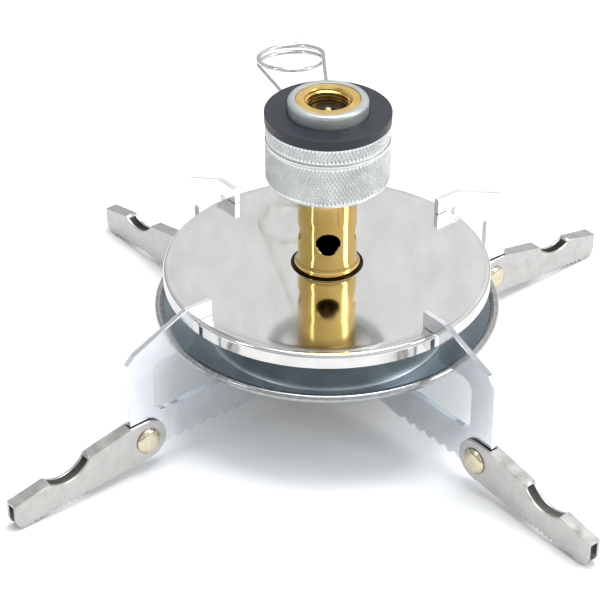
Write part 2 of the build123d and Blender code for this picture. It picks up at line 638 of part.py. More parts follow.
# ---------------------------------------------------------------- gas jet
def gas_jet():
    """Jet screwed up into the body, its nose pointing down the mixing tube."""
    seat = BODY_BOTTOM + TUBE_SOCKET
    low = seat - JET_HEAD
    head = extrude(RegularPolygon(JET_FLATS / 2, 6, major_radius=False), JET_HEAD)
    jet = Pos(0, 0, low) * head
    jet += Pos(0, 0, seat) * rod(JET_THREAD_RADIUS - RUN_GAP, JET_THREAD_LENGTH)
    jet += Pos(0, 0, low - JET_NOSE) * rod(JET_NOSE_RADIUS, JET_NOSE)
    return jet - Pos(0, 0, low - 2 * JET_NOSE) * rod(JET_ORIFICE, JET_THREAD_LENGTH + JET_HEAD
                                                      + 3 * JET_NOSE)


def main():
    os.makedirs("parts", exist_ok=True)
    nodes = {
        "valve_body": valve_body, "grip_ring": grip_ring, "thread_insert": thread_insert,
        "inlet_seal": inlet_seal, "depressor_pin": depressor_pin, "gland_nut": gland_nut,
        "spindle_oring": spindle_oring, "valve_spindle": valve_spindle,
        "handle_wire": handle_wire, "gas_jet": gas_jet, "mixing_tube": mixing_tube,
        "tube_lock_nut": tube_lock_nut, "reflector_pan": reflector_pan,
        "burner_bowl": burner_bowl, "burner_head": burner_head,
        "burner_screen": burner_screen}
    for name, make in nodes.items():
        save(make(), name)
    for i, angle in enumerate(arm_angles(), start=1):
        save(support_arm(angle), "support_arm_" + str(i))
        save(arm_extension(angle), "arm_extension_" + str(i))
        save(pivot_rivet(angle), "pivot_rivet_" + str(i))


main()
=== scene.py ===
import bmesh
import bpy
import json
import math
from mathutils import Matrix, Vector

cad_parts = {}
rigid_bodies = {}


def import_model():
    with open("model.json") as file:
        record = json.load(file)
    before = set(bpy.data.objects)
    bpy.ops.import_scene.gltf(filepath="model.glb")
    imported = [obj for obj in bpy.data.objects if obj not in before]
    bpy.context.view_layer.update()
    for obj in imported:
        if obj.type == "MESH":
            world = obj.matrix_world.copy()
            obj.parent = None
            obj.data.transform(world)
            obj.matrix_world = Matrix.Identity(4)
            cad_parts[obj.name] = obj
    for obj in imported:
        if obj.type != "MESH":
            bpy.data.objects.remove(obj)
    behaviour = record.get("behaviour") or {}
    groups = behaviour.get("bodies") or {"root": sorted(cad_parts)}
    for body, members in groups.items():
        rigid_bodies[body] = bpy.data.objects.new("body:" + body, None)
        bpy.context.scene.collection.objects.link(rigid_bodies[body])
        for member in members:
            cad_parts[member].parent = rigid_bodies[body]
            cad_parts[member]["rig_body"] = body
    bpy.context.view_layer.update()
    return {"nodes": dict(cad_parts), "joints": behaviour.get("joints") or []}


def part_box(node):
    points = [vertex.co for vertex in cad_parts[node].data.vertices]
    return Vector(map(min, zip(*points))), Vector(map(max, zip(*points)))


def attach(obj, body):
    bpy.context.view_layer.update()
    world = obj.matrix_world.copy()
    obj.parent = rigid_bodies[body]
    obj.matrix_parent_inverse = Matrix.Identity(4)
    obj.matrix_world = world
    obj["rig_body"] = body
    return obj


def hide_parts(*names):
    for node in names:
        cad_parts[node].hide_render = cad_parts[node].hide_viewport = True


MM = 0.001
FULL_TURN = 2 * math.pi
ARMS = (1, 2, 3, 4)
SAME_POINT = 1e-7          # metres, for points made by one operator
NEAR_POINT = 1e-6          # metres, for points that two operators made

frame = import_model()
joints = {joint["name"]: joint for joint in frame["joints"]}


def top_of(node):
    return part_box(node)[1].z / MM


def bottom_of(node):
    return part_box(node)[0].z / MM


def radius_of(node):
    low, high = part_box(node)
    return (high.x - low.x) / 2 / MM


# ---------------------------------------------------------------- materials
def linear(hex_colour):
    """sRGB hex to the linear RGBA that shaders take."""
    channels = []
    for start in (1, 3, 5):
        value = int(hex_colour[start:start + 2], 16) / 255
        channels.append(value / 12.92 if value <= 0.04045 else ((value + 0.055) / 1.055) ** 2.4)
    return (*channels, 1.0)


def per(size_mm):
    """Texture scale for a pattern that repeats about every size_mm."""
    return 1 / (size_mm * MM)


def add(tree, kind, inputs=None, **settings):
    """Add a node, set its settings, and set or link its inputs."""
    node = tree.nodes.new(kind)
    for name, value in settings.items():
        setattr(node, name, value)
    for socket, value in (inputs or {}).items():
        if isinstance(value, bpy.types.NodeSocket):
            tree.links.new(value, node.inputs[socket])
        else:
            node.inputs[socket].default_value = value
    return node


NOISE_LOW = 0.32           # noise rarely leaves this range, so it is stretched to 0 to 1
NOISE_HIGH = 0.68


def surface(name, tones, roughness, cloud, relief, painted_shade=None, **constants):
    """A finish: a slow cloud mixes two tones and two roughnesses, a relief gives the grain.

    cloud is (size, detail, stretch) and relief is (size, detail, stretch, depth), sizes and
    depth in millimetres; stretch under 1 draws the pattern out along that axis. The last
    argument is painted shade, a tone and two radii: inside the first, round the stove axis, only
    that tone is left."""
    material = bpy.data.materials.new(name)
    material.use_nodes = True
    tree = material.node_tree
    tree.nodes.clear()
    place = add(tree, "ShaderNodeTexCoord").outputs["Object"]
    patterns = []
    for size, detail, stretch in (cloud, relief[:3]):
        laid = add(tree, "ShaderNodeMapping", {"Vector": place, "Scale": stretch})
        patterns.append(add(tree, "ShaderNodeTexNoise", {
            "Vector": laid.outputs["Vector"], "Scale": per(size), "Detail": detail}).outputs[0])
    even = add(tree, "ShaderNodeMapRange", {
        "Value": patterns[0], "From Min": NOISE_LOW, "From Max": NOISE_HIGH}).outputs[0]
    tone = add(tree, "ShaderNodeMix", {0: even, 6: linear(tones[0]), 7: linear(tones[1])},
               data_type="RGBA")
    colour = tone.outputs[2]
    # Painted shade: a dark tone laid round the stove axis, where a gap lies in shadow.
    if painted_shade:
        level = add(tree, "ShaderNodeVectorMath", {0: place, 1: (1, 1, 0)}, operation="MULTIPLY")
        reach = add(tree, "ShaderNodeVectorMath", {0: level.outputs[0]}, operation="LENGTH")
        clear_of_painted_shade = add(tree, "ShaderNodeMapRange", {
            "Value": reach.outputs["Value"], "From Min": painted_shade[1] * MM, "From Max": painted_shade[2] * MM})
        colour = add(tree, "ShaderNodeMix", {0: clear_of_painted_shade.outputs[0], 6: linear(painted_shade[0]), 7: colour},
                     data_type="RGBA").outputs[2]
    gloss = add(tree, "ShaderNodeMapRange", {
        "Value": even, "To Min": roughness[0], "To Max": roughness[1]})
    grain = add(tree, "ShaderNodeBump", {"Height": patterns[1], "Distance": relief[3] * MM})
    bsdf = add(tree, "ShaderNodeBsdfPrincipled", {
        "Base Color": colour, "Roughness": gloss.outputs[0],
        "Normal": grain.outputs["Normal"], **constants})
    add(tree, "ShaderNodeOutputMaterial", {"Surface": bsdf.outputs["BSDF"]})
    return material


EVEN = (1, 1, 1)
LEVEL = (0.02, 0.02, 1)        # rings round the stove axis

# Bead-blasted and clear anodised: an even pale grey with a soft wide highlight.
BLASTED = surface("bead_blasted_aluminium", ("#b1b6b5", "#bcc1c0"), (0.42, 0.52),
                  (6.0, 2.0, EVEN), (0.2, 3.0, EVEN, 0.006), Metallic=0.85)
# Turned and knurled after blasting: bright metal whose facets each catch the light.
CUT = surface("diamond_cut_aluminium", ("#d8dbda", "#e1e4e3"), (0.28, 0.38),
              (3.0, 2.0, EVEN), (0.3, 2.0, LEVEL, 0.004), Metallic=1.0)
# Moulded rubber: nearly black, its satin skin lifted to blue-grey where it faces light.
RUBBER = surface("moulded_rubber", ("#11151f", "#1b202b"), (0.38, 0.55),
                 (4.0, 3.0, EVEN), (0.3, 3.0, EVEN, 0.01), IOR=1.52)
# Nitrile seal: black and smooth, with a small wet-looking glint.
NITRILE = surface("nitrile_seal_rubber", ("#060607", "#0b0b0d"), (0.3, 0.42),
                  (3.0, 2.0, EVEN), (0.3, 2.0, EVEN, 0.006), IOR=1.52)
# Drawn brass tube polished round its axis: sharp upright reflections, faint polishing rings.
BRASS_TUBE = surface("polished_brass", ("#d9b566", "#e3c378"), (0.06, 0.12),
                     (6.0, 3.0, EVEN), (0.35, 2.0, LEVEL, 0.0012), Metallic=1.0)
# Lathe-turned brass: warm yellow, with feed lines round the axis.
BRASS = surface("turned_brass", ("#d6b062", "#e4c379"), (0.16, 0.27),
                (4.0, 2.0, EVEN), (0.25, 2.0, LEVEL, 0.004), Metallic=1.0)
# Mirror-rolled stainless sheet, pressed: clear reflections that waver a little.
PAN_STEEL = surface("mirror_rolled_stainless", ("#d0cfcc", "#dbdad8"), (0.07, 0.13),
                    (5.0, 4.0, (1, 0.35, 1)), (16.0, 1.0, EVEN, 0.035), Metallic=1.0)
# Zinc plating over a deep pressing: bluish satin, a little cloudy, with painted shade, near
# black, round the tube, where the gap under the pan lies in shadow.
BOWL_ZINC = surface("zinc_plated_pressing", ("#b6c2c9", "#c8d3d9"), (0.3, 0.42),
                    (6.0, 3.0, EVEN), (9.0, 2.0, EVEN, 0.03), ("#15110d", 9.6, 12.0),
                    Metallic=0.8)
# The bowl's rim, rolled over a wire and burnished: neutral, brighter, fine wear across it.
RIM_STEEL = surface("burnished_rolled_rim", ("#9b9c9d", "#aeb0b1"), (0.16, 0.28),
                    (1.2, 3.0, EVEN), (0.5, 3.0, EVEN, 0.01), Metallic=1.0)
# Zinc plating over stamped plate: nearly mirror bright, rolling marks just showing.
ARM_ZINC = surface("zinc_plated_plate", ("#e3e6ea", "#eef0f3"), (0.1, 0.2),
                   (4.0, 3.0, EVEN), (7.0, 2.0, EVEN, 0.025), Metallic=1.0)
# Stamped stainless, tumbled in stone to take the burrs off: satin, warm, faintly mottled.
CHANNEL_STEEL = surface("tumbled_stainless", ("#b7b5b2", "#c5c3c0"), (0.26, 0.38),
                        (3.2, 4.0, EVEN), (0.25, 3.0, EVEN, 0.006), Metallic=1.0)
# Nickel-plated steel, headed cold: straw-tinted, with small dents from the heading die.
NICKEL = surface("nickel_plated_steel", ("#cdc1a6", "#ddd3bd"), (0.14, 0.26),
                 (1.6, 2.0, EVEN), (1.6, 2.0, EVEN, 0.05), Metallic=1.0)
# Drawn and polished stainless wire: hard narrow highlights, faint draw marks.
WIRE = surface("drawn_stainless_wire", ("#c9c8c4", "#dad9d6"), (0.07, 0.16),
               (0.8, 3.0, EVEN), (0.4, 2.0, EVEN, 0.002), Metallic=1.0)
# Perforated cap, heat-straw stainless: dull, a little brown from the flame.
HEAD_STEEL = surface("flame_tinted_stainless", ("#a89f90", "#b9b4aa"), (0.3, 0.45),
                     (5.0, 3.0, EVEN), (0.3, 3.0, EVEN, 0.006), Metallic=1.0)


GAUZE_SPACING = 0.8        # coarser than real gauze, so that its wires show
GAUZE_RELIEF = 0.1


def woven_gauze():
    """Woven stainless wire: two crossing sets of bright wires, with painted shade in the gaps
    between them.
    """
    material = bpy.data.materials.new("stainless_gauze")
    material.use_nodes = True
    tree = material.node_tree
    tree.nodes.clear()
    place = add(tree, "ShaderNodeTexCoord").outputs["Object"]
    wires = []
    for way in ("X", "Y"):
        wires.append(add(tree, "ShaderNodeTexWave", {
            "Vector": place, "Scale": per(GAUZE_SPACING) / FULL_TURN},
            bands_direction=way).outputs[1])
    cross = add(tree, "ShaderNodeMath", {0: wires[0], 1: wires[1]}, operation="MULTIPLY")
    # The dark tone is painted shade for the openings between the wires; the light tone is the wire's
    # own metal.
    tone = add(tree, "ShaderNodeMix", {0: cross.outputs[0], 6: linear("#2c2c2e"),
                                       7: linear("#9a9a9c")}, data_type="RGBA")
    relief = add(tree, "ShaderNodeBump", {"Height": cross.outputs[0], "Distance": GAUZE_RELIEF * MM})
    bsdf = add(tree, "ShaderNodeBsdfPrincipled", {
        "Base Color": tone.outputs[2], "Normal": relief.outputs["Normal"],
        "Metallic": 1.0, "Roughness": 0.4})
    add(tree, "ShaderNodeOutputMaterial", {"Surface": bsdf.outputs["BSDF"]})
    return material


GAUZE = woven_gauze()


# ---------------------------------------------------------------- mesh helpers
HOLD_LOOP = 0.12           # from an arc's end to the loop that holds the flat beside it
MITRE_LIMIT = 0.5          # keeps a sheet's sharp corners from running out to a spike
COPLANAR_DEG = 0.6


def piece(name, bm, materials, stands_for, sharp_deg=40):
    """Finish a bmesh as a visible piece that stands for a CAD node and rides on its body."""
    mesh = bpy.data.meshes.new(name)
    smooth = [face.smooth for face in bm.faces]
    bm.to_mesh(mesh)
    bm.free()
    for material in materials:
        mesh.materials.append(material)
    mesh.set_sharp_from_angle(angle=math.radians(sharp_deg))
    mesh.polygons.foreach_set("use_smooth", smooth)
    made = bpy.data.objects.new(name, mesh)
    bpy.context.scene.collection.objects.link(made)
    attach(made, frame["nodes"][stands_for]["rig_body"])
    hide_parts(stands_for)
    return made


def paint(node, material):
    """Give a CAD node its finish on the object, its mesh left alone."""
    shown = frame["nodes"][node]
    if not shown.material_slots:
        shown.data.materials.append(None)
    for place in shown.material_slots:
        place.link = "OBJECT"
        place.material = material


def tidy(bm):
    """Merge doubles, then turn every face outwards."""
    bmesh.ops.remove_doubles(bm, verts=bm.verts, dist=SAME_POINT)
    bmesh.ops.recalc_face_normals(bm, faces=bm.faces)
    for face in bm.faces:
        face.smooth = True
    return bm


def rounded(corners, arc_steps=4):
    """Profile from (radius, height, rounding) corners, in mm, with loops that hold the flats."""
    points = []
    for i, (radius, height, rounding) in enumerate(corners):
        here = Vector((radius, height))
        if not rounding:
            points.append(here)
            continue
        back = Vector(corners[i - 1][:2]) - here
        on = Vector(corners[(i + 1) % len(corners)][:2]) - here
        room = min(back.length, on.length)
        back.normalize()
        on.normalize()
        half = back.angle(on) / 2
        run = rounding / math.tan(half)
        centre = here + (back + on).normalized() * rounding / math.sin(half)
        first = (here + back * run - centre).normalized()
        last = (here + on * run - centre).normalized()
        hold = min(HOLD_LOOP, (room - run) / 3)
        points.append(here + back * (run + hold))
        for step in range(arc_steps + 1):
            share = step / arc_steps
            points.append(centre + first.slerp(last, share) * rounding)
        points.append(here + on * (run + hold))
    return points


def turned(profile, steps=128, closed=True, place=None):
    """Turn a profile of (radius, height) points, in mm, about an axis placed by a matrix."""
    bm = bmesh.new()
    verts = [bm.verts.new((point[0] * MM, 0, point[1] * MM)) for point in profile]
    pairs = list(zip(verts, verts[1:]))
    if closed:
        pairs.append((verts[-1], verts[0]))
    edges = [bm.edges.new(pair) for pair in pairs]
    bmesh.ops.spin(bm, geom=verts + edges, cent=(0, 0, 0), axis=(0, 0, 1), dvec=(0, 0, 0),
                   angle=FULL_TURN, steps=steps, use_merge=True, use_duplicate=False)
    if place is not None:
        bmesh.ops.transform(bm, matrix=place, verts=bm.verts)
    return tidy(bm)


def sheet_loop(line, thickness):
    """Closed profile round an open centre line, half the thickness to each side."""
    left, right = [], []
    for i, here in enumerate(line):
        steps = [line[i] - line[i - 1]] if i else []
        if i + 1 < len(line):
            steps.append(line[i + 1] - line[i])
        along = sum((step.normalized() for step in steps), Vector((0, 0))).normalized()
        spread = thickness / 2 / max(along.dot(steps[-1].normalized()), MITRE_LIMIT)
        across = Vector((-along.y, along.x)) * spread
        left.append(here + across)
        right.append(here - across)
    return left + right[::-1]


def copy_of(node):
    """Merged copy of a CAD node's mesh with its flat triangles joined up."""
    bm = bmesh.new()
    bm.from_mesh(frame["nodes"][node].data)
    bmesh.ops.remove_doubles(bm, verts=bm.verts, dist=NEAR_POINT)
    bmesh.ops.dissolve_limit(bm, angle_limit=math.radians(COPLANAR_DEG), verts=bm.verts,
                             edges=bm.edges)
    bmesh.ops.recalc_face_normals(bm, faces=bm.faces)
    return bm


def sharp_edges(bm, degrees=35):
    return [edge for edge in bm.edges
            if edge.is_manifold and edge.calc_face_angle() > math.radians(degrees)]


def ease(bm, edges, offset_mm, segments):
    """Round a set of edges over."""
    bmesh.ops.bevel(bm, geom=edges, offset=offset_mm * MM, offset_type="OFFSET",
                    affect="EDGES", segments=segments, profile=0.5, material=-1,
                    clamp_overlap=True)
    return bm


def flats_flat(bm, at_least_mm2=2.0):
    """Smooth the small rounded faces and leave the large flat ones flat."""
    for face in bm.faces:
        face.smooth = face.calc_area() < at_least_mm2 * MM * MM
    return bm


# ---------------------------------------------------------------- valve body
KNURL_COLUMNS = 96         # diamonds round the body
KNURL_ROW = 0.82           # half a diamond's height
KNURL_DEPTH = 0.38
GRID_MATCH = 0.01          # a point this near a row or valley belongs to it
BODY_ROUNDING = 0.6        # at the lower edge
GROOVE_FROM_TOP = 4.6
GROOVE_HALF = 0.62
GROOVE_DEPTH = 0.18
GROOVE_FLOOR_HALF = 0.25
GROOVE_FLOOR_ROUNDING = 0.3
GROOVE_EDGE_ROUNDING = 0.15
GROOVE_EDGE_INSET = 0.05
BAND_GAP = 0.1             # plain strip between groove and knurl
SEAT_LAND = 0.25           # plain strip under the rubber ring
FOOT_LAND = 0.15           # plain strip over the lower edge
BOSS_RADIUS = 9.8
BOSS_ROUNDING = 0.85
TUBE_SOCKET = 3.05
TUBE_RADIUS = 7.35
GAS_CHAMBER = 2.0          # under the seal, with the pin's collar
CHAMBER_RADIUS = 1.6
SPINDLE_BORE = 3.4
BORE_END = 0.9             # the needle's seat, from the stove axis


def knurl_rows(low, high):
    """Heights of the knurl's rows, spread evenly over a band."""
    count = 2 * round((high - low) / KNURL_ROW / 2)
    return [low + (high - low) * i / count for i in range(count + 1)]


def flat_reach(point):
    return math.hypot(point.x, point.y)


def raise_knurl(bm, rows, valley):
    """Raise every other crossing of a band's grid into the points of a diamond knurl."""
    step = rows[1] - rows[0]
    for vert in bm.verts:
        height = vert.co.z / MM
        row = round((height - rows[0]) / step)
        if abs(flat_reach(vert.co) / MM - valley) > GRID_MATCH or not 0 < row < len(rows) - 1:
            continue
        if abs(rows[0] + row * step - height) > GRID_MATCH:
            continue
        column = round(math.atan2(vert.co.y, vert.co.x) / FULL_TURN * 2 * KNURL_COLUMNS)
        if (row + column) % 2:
            vert.co.xy *= (valley + KNURL_DEPTH) / valley


def open_spindle_bore(bm, way, height):
    """Cut the spindle's bore through the knurl and carry it in to the needle's seat."""
    start = Vector((0, 0, height * MM))
    covered = []
    for face in bm.faces:
        middle = face.calc_center_median() - start
        along = middle.dot(way)
        if along > CHAMBER_RADIUS * 4 * MM and (middle - way * along).length < SPINDLE_BORE * MM:
            covered.append(face)
    bmesh.ops.delete(bm, geom=covered, context="FACES")
    rim = [edge for edge in bm.edges if edge.is_boundary]
    made = bmesh.ops.extrude_edge_only(bm, edges=rim)["geom"]
    for vert in made:
        if isinstance(vert, bmesh.types.BMVert):
            vert.co -= way * (vert.co.dot(way) - BORE_END * MM)
    bmesh.ops.holes_fill(bm, edges=[edge for edge in bm.edges if edge.is_boundary], sides=0)


def knurled_body():
    outer = radius_of("valve_body")
    valley = outer - KNURL_DEPTH
    bottom, boss_top = bottom_of("valve_body"), top_of("valve_body")
    seat = bottom_of("grip_ring")
    groove = seat - GROOVE_FROM_TOP
    socket = bottom_of("thread_insert")
    insert_radius = radius_of("thread_insert")
    groove_floor = outer - GROOVE_DEPTH
    groove_edge = outer - GROOVE_EDGE_INSET
    lower = knurl_rows(bottom + BODY_ROUNDING + FOOT_LAND, groove - GROOVE_HALF - BAND_GAP)
    upper = knurl_rows(groove + GROOVE_HALF + BAND_GAP, seat - SEAT_LAND)
    profile = [Vector((0, bottom + TUBE_SOCKET)), Vector((TUBE_RADIUS + 0.05, bottom + TUBE_SOCKET))]
    profile += rounded([(TUBE_RADIUS + 0.05, bottom, 0.2), (valley - 0.02, bottom, BODY_ROUNDING),
                        (valley - 0.02, lower[0] - 0.05, 0)], 6)
    profile += [Vector((valley, row)) for row in lower]
    profile += rounded([
        (groove_edge, groove - GROOVE_HALF, GROOVE_EDGE_ROUNDING),
        (groove_floor, groove - GROOVE_FLOOR_HALF, GROOVE_FLOOR_ROUNDING),
        (groove_floor, groove + GROOVE_FLOOR_HALF, GROOVE_FLOOR_ROUNDING),
        (groove_edge, groove + GROOVE_HALF, GROOVE_EDGE_ROUNDING)])
    profile += [Vector((valley, row)) for row in upper]
    profile += rounded([(valley - 0.2, seat, 0), (BOSS_RADIUS, seat, 0),
                        (BOSS_RADIUS, boss_top, BOSS_ROUNDING),
                        (insert_radius, boss_top, 0.12), (insert_radius, socket, 0),
                        (CHAMBER_RADIUS, socket, 0), (CHAMBER_RADIUS, socket - GAS_CHAMBER, 0),
                        (0, socket - GAS_CHAMBER, 0)], 6)
    bm = turned(profile, 2 * KNURL_COLUMNS, closed=False)
    way = Vector(joints["handle_turn"]["axis"]).normalized()
    if way.dot(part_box("gland_nut")[0]) < 0:
        way = -way
    gland_low, gland_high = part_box("gland_nut")
    open_spindle_bore(bm, way, (gland_low.z + gland_high.z) / 2 / MM)
    for rows in (lower, upper):
        raise_knurl(bm, rows, valley)
    knurled = []
    for face in bm.faces:
        heights = [vert.co.z / MM for vert in face.verts]
        reaches = [flat_reach(vert.co) / MM for vert in face.verts]
        plain = min(heights) > seat - 0.3 or max(heights) < bottom + 0.3
        face.material_index = 0 if plain else 1
        for rows in (lower, upper):
            inside = (min(heights) > rows[0] - GRID_MATCH
                      and max(heights) < rows[-1] + GRID_MATCH)
            if inside and min(reaches) > valley - GRID_MATCH and len(face.verts) == 4:
                knurled.append(face)
    for face in knurled:
        face.smooth = False
    bmesh.ops.triangulate(bm, faces=knurled, quad_method="SHORT_EDGE", ngon_method="BEAUTY")
    return piece("knurled_body", bm, [BLASTED, CUT], "valve_body", 30)


RING_CLEARANCE = 0.1       # round the boss
RING_EASE = 0.15
RING_TAPER = 0.05          # its lower edge is this much smaller


def rubber_ring():
    low, high = bottom_of("grip_ring"), top_of("grip_ring")
    outer = radius_of("grip_ring")
    inner = BOSS_RADIUS + RING_CLEARANCE
    profile = rounded([(inner, low, 0.1), (outer - RING_TAPER, low, RING_EASE),
                       (outer, high, RING_EASE), (inner, high, RING_EASE)])
    return piece("rubber_ring", turned(profile, 160), [RUBBER], "grip_ring")


# ---------------------------------------------------------------- canister inlet
THREAD_PITCH = 0.907
THREAD_STEPS = 72
THREAD_MINOR = 5.07
THREAD_MAJOR = 5.6
MOUTH_CONE = 0.3
INSERT_EASE = 0.12         # chamfer on the insert's outer edge
INSERT_INSET = 0.01        # inside the body's bore
SEAL_RADIUS = 5.06
SEAL_BORE = 1.7


def boundary(bm):
    return [edge for edge in bm.edges if edge.is_boundary]


def ring_out(bm, edges, radius, height):
    """Carry a round edge loop to a new radius and height."""
    made = bmesh.ops.extrude_edge_only(bm, edges=edges)["geom"]
    fresh = {item for item in made if isinstance(item, bmesh.types.BMVert)}
    for vert in fresh:
        scale = radius * MM / flat_reach(vert.co)
        vert.co = (vert.co.x * scale, vert.co.y * scale, height * MM)
    return [edge for edge in boundary(bm) if all(vert in fresh for vert in edge.verts)]


def threaded_insert():
    low, top = bottom_of("thread_insert"), top_of("thread_insert")
    outer = radius_of("thread_insert")
    mouth = THREAD_MAJOR + MOUTH_CONE
    tooth = ((THREAD_MINOR, 0.0), (THREAD_MINOR, 0.14), (THREAD_MAJOR, 0.42),
             (THREAD_MAJOR, 0.5), (THREAD_MINOR, 0.79), (THREAD_MINOR, THREAD_PITCH))
    turns = math.ceil((top - low) / THREAD_PITCH) + 1
    bm = bmesh.new()
    verts = [bm.verts.new((r * MM, 0, (low - THREAD_PITCH + z) * MM)) for r, z in tooth]
    edges = [bm.edges.new(pair) for pair in zip(verts, verts[1:])]
    bmesh.ops.spin(bm, geom=verts + edges, cent=(0, 0, 0), axis=(0, 0, 1),
                   dvec=(0, 0, THREAD_PITCH * MM / THREAD_STEPS), angle=FULL_TURN * turns,
                   steps=THREAD_STEPS * turns, use_merge=False, use_duplicate=False)
    bmesh.ops.remove_doubles(bm, verts=bm.verts, dist=NEAR_POINT)
    for height, side in ((top, 1), (low, -1)):
        everything = bm.verts[:] + bm.edges[:] + bm.faces[:]
        bmesh.ops.bisect_plane(bm, geom=everything, dist=1e-8, plane_co=(0, 0, height * MM),
                               plane_no=(0, 0, side), clear_outer=True, clear_inner=False)
    for vert in bm.verts:
        reach = flat_reach(vert.co) / MM
        cone = mouth - (top - vert.co.z / MM)
        if cone > reach:
            vert.co.xy *= cone / reach
    rim = [edge for edge in boundary(bm)
           if all(abs(vert.co.z - top * MM) < SAME_POINT for vert in edge.verts)]
    rim = ring_out(bm, rim, outer - INSERT_EASE, top)
    rim = ring_out(bm, rim, outer - INSERT_INSET, top - INSERT_EASE)
    ring_out(bm, rim, outer - INSERT_INSET, low)
    bmesh.ops.bridge_loops(bm, edges=boundary(bm))
    return piece("threaded_insert", tidy(bm), [BRASS], "thread_insert", 25)


def inlet_gasket():
    low, high = bottom_of("inlet_seal"), top_of("inlet_seal")
    profile = rounded([(SEAL_BORE, low, 0), (SEAL_RADIUS, low, 0), (SEAL_RADIUS, high, 0.3),
                       (SEAL_BORE, high, 0.4)], 5)
    return piece("inlet_gasket", turned(profile, 72), [NITRILE], "inlet_seal")


def opener_pin():
    low, high = bottom_of("depressor_pin"), top_of("depressor_pin")
    profile = [(0, high), (0.35, high - 0.04), (0.68, high - 0.2), (0.9, high - 0.45),
               (1.0, high - 0.8), (1.0, low + 1.0), (1.55, low + 1.0), (1.55, low), (0, low)]
    return piece("opener_pin", turned(profile, 32, closed=False), [BRASS],
                 "depressor_pin")


# ---------------------------------------------------------------- mixing tube
TUBE_WALL = 0.7
HOLE_RADIUS = 3.1
HOLE_RISE = 9.4            # hole centres above the pan
HOLE_STEPS = 64
HOLE_ANGLE = -88.0
COLLAR_RADIUS = 8.2
COLLAR_HEIGHT = 1.2
COVE = 2.2
COVE_STEPS = 8
COLLAR_LIFT = 0.02         # the collar's foot, off the bowl
WALL_LOOPS = (0.0, 0.05, 0.16, 0.34, 0.6, 1.0)      # hole's edge to the quarter's edge
TUBE_EASE = 0.08
TOP_LOOP = 4               # from the tube's top to the loop that holds it straight
FOOT_LOOP = 2


def quarter_wall(bm, angle, height):
    """A quarter of the tube's wall with its air hole, rolled round the tube's axis."""
    half = FULL_TURN * TUBE_RADIUS / 8
    ways = [FULL_TURN * i / HOLE_STEPS for i in range(HOLE_STEPS)]
    rings = []
    for share in WALL_LOOPS:
        ring = []
        for way in ways:
            hole = Vector((TUBE_RADIUS * math.asin(HOLE_RADIUS * math.cos(way) / TUBE_RADIUS),
                           HOLE_RADIUS * math.sin(way)))
            edge = Vector((math.cos(way), math.sin(way)))
            edge *= half / max(abs(edge.x), abs(edge.y))
            spot = hole.lerp(edge, share)
            turn = angle + spot.x / TUBE_RADIUS
            ring.append(bm.verts.new((TUBE_RADIUS * MM * math.cos(turn),
                                      TUBE_RADIUS * MM * math.sin(turn),
                                      (height + spot.y) * MM)))
        rings.append(ring)
    for inner, outer in zip(rings, rings[1:]):
        for i in range(HOLE_STEPS):
            j = (i + 1) % HOLE_STEPS
            bm.faces.new((inner[i], outer[i], outer[j], inner[j]))


def brass_tube():
    pan, bowl_top = top_of("reflector_pan"), top_of("burner_bowl")
    low, top = bottom_of("mixing_tube"), top_of("mixing_tube")
    centre = pan + HOLE_RISE
    half = FULL_TURN * TUBE_RADIUS / 8
    bm = bmesh.new()
    for i in range(4):
        quarter_wall(bm, math.radians(HOLE_ANGLE + 90 * i), centre)
    bmesh.ops.remove_doubles(bm, verts=bm.verts, dist=NEAR_POINT)
    ends = {}
    for side in (-1, 1):
        ends[side] = [edge for edge in boundary(bm) if all(
            abs(vert.co.z - (centre + side * half) * MM) < SAME_POINT for vert in edge.verts)]
    rim = ends[1]
    for height in (top - TOP_LOOP, top):
        rim = ring_out(bm, rim, TUBE_RADIUS, height)
    rim = ring_out(bm, ends[-1], TUBE_RADIUS, low + FOOT_LOOP)
    ring_out(bm, rim, TUBE_RADIUS, low)
    tidy(bm)
    if sum(face.normal.dot(face.calc_center_median()) for face in bm.faces) < 0:
        bmesh.ops.reverse_faces(bm, faces=bm.faces)
    bmesh.ops.solidify(bm, geom=bm.faces[:], thickness=TUBE_WALL * MM)
    crown = bowl_top + COLLAR_HEIGHT
    sunk = TUBE_RADIUS - TUBE_WALL / 2
    collar = []
    for step in range(COVE_STEPS + 1):
        turn = FULL_TURN / 4 * step / COVE_STEPS
        collar.append((COLLAR_RADIUS - (COLLAR_RADIUS - TUBE_RADIUS) * math.cos(turn),
                       crown + COVE - COVE * math.sin(turn)))
    foot = bowl_top + COLLAR_LIFT
    collar += [(COLLAR_RADIUS, foot), (sunk, foot), (sunk, crown + COVE)]
    lip = turned(collar, HOLE_STEPS)
    lip_mesh = bpy.data.meshes.new("lip")
    lip.to_mesh(lip_mesh)
    lip.free()
    bm.from_mesh(lip_mesh)
    bpy.data.meshes.remove(lip_mesh)
    for face in bm.faces:
        face.smooth = True
    made = piece("brass_tube", bm, [BRASS_TUBE], "mixing_tube", 40)
    edge = made.modifiers.new("eased edges", "BEVEL")
    edge.width = TUBE_EASE * MM
    edge.segments = 2
    edge.limit_method = "ANGLE"
    edge.angle_limit = math.radians(50)
    return made


# ---------------------------------------------------------------- pan and bowl
PAN_SHEET = 0.4
PAN_HOLE = 9.1
PAN_SHOULDER = 0.9
PAN_CREASE = 39.5          # shallow press line inside the shoulder
CREASE_DEPTH = 0.05
BOWL_SHEET = 0.6
BOWL_HOLE = 7.45
DRUM_RADIUS = 29.2
RIM_TUBE = 1.1
RIM_RISE = 8.5             # rim tube's centre over the dish's foot
BEAD_STEPS = 18
DISH_SAG = 1.1
DISH_STEPS = 14
DISH_START = 3             # steps of the dish that the foot's rounding takes up


